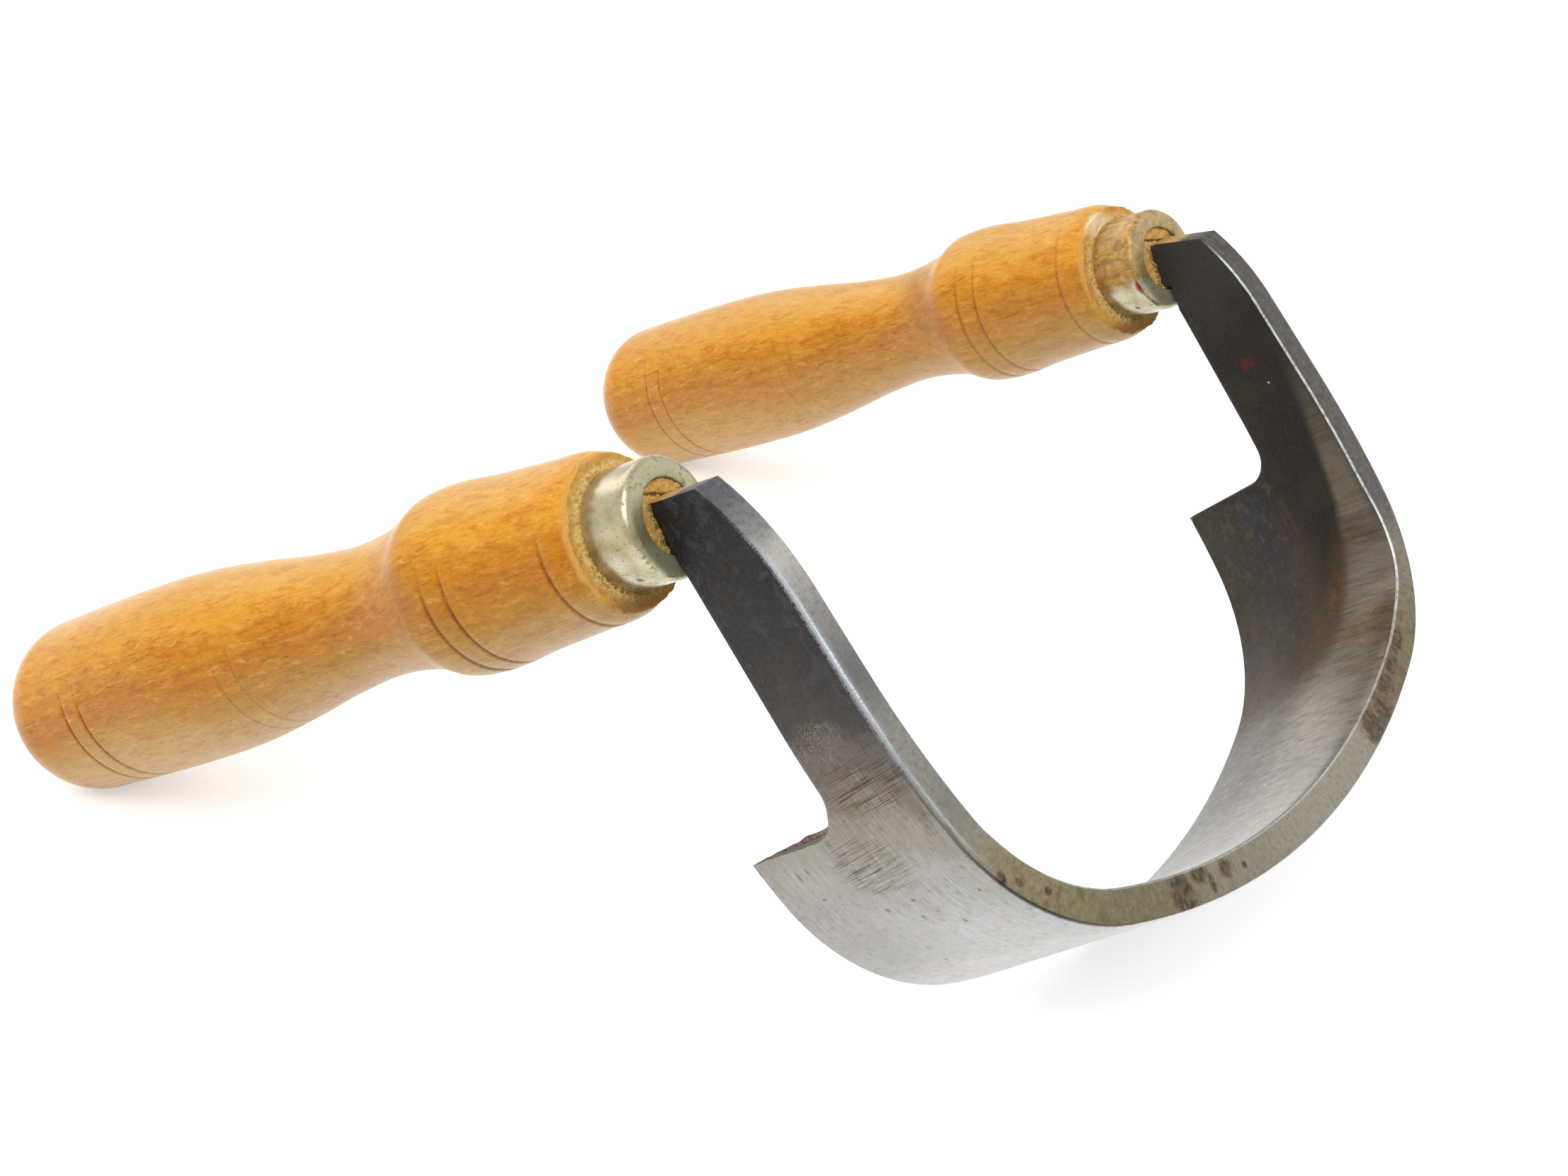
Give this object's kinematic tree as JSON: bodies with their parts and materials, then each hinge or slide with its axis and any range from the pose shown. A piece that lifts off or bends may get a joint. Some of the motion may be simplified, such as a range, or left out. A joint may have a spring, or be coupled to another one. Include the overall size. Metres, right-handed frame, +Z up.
{
  "type": "inshave",
  "caption": "U-shaped inshave for hollowing wood: a forged blade with turned wooden handles pressed on its tangs behind steel ferrules.",
  "frame": {"origin": "on the bench, under the middle of the tool's bounding box as it lies on its cutting edge and two butts", "axes": "+Z up from the bench, +Y from the blade towards the handle butts, +X towards the left handle"},
  "size_m": [0.189, 0.2101, 0.0931],
  "materials": {
    "blade_steel": "forge-black arms over a bright ground and scratched bend, with brown tarnish",
    "handle_wood": "turned beech-like wood, satin, honey coloured with fine flecks",
    "ferrule_steel": "satin drawn steel with brown rust specks"
  },
  "bodies": {
    "inshave": {"blade": "blade_steel", "handle_right": "handle_wood", "handle_left": "handle_wood", "ferrule_right": "ferrule_steel", "ferrule_left": "ferrule_steel"}
  },
  "joints": []
}
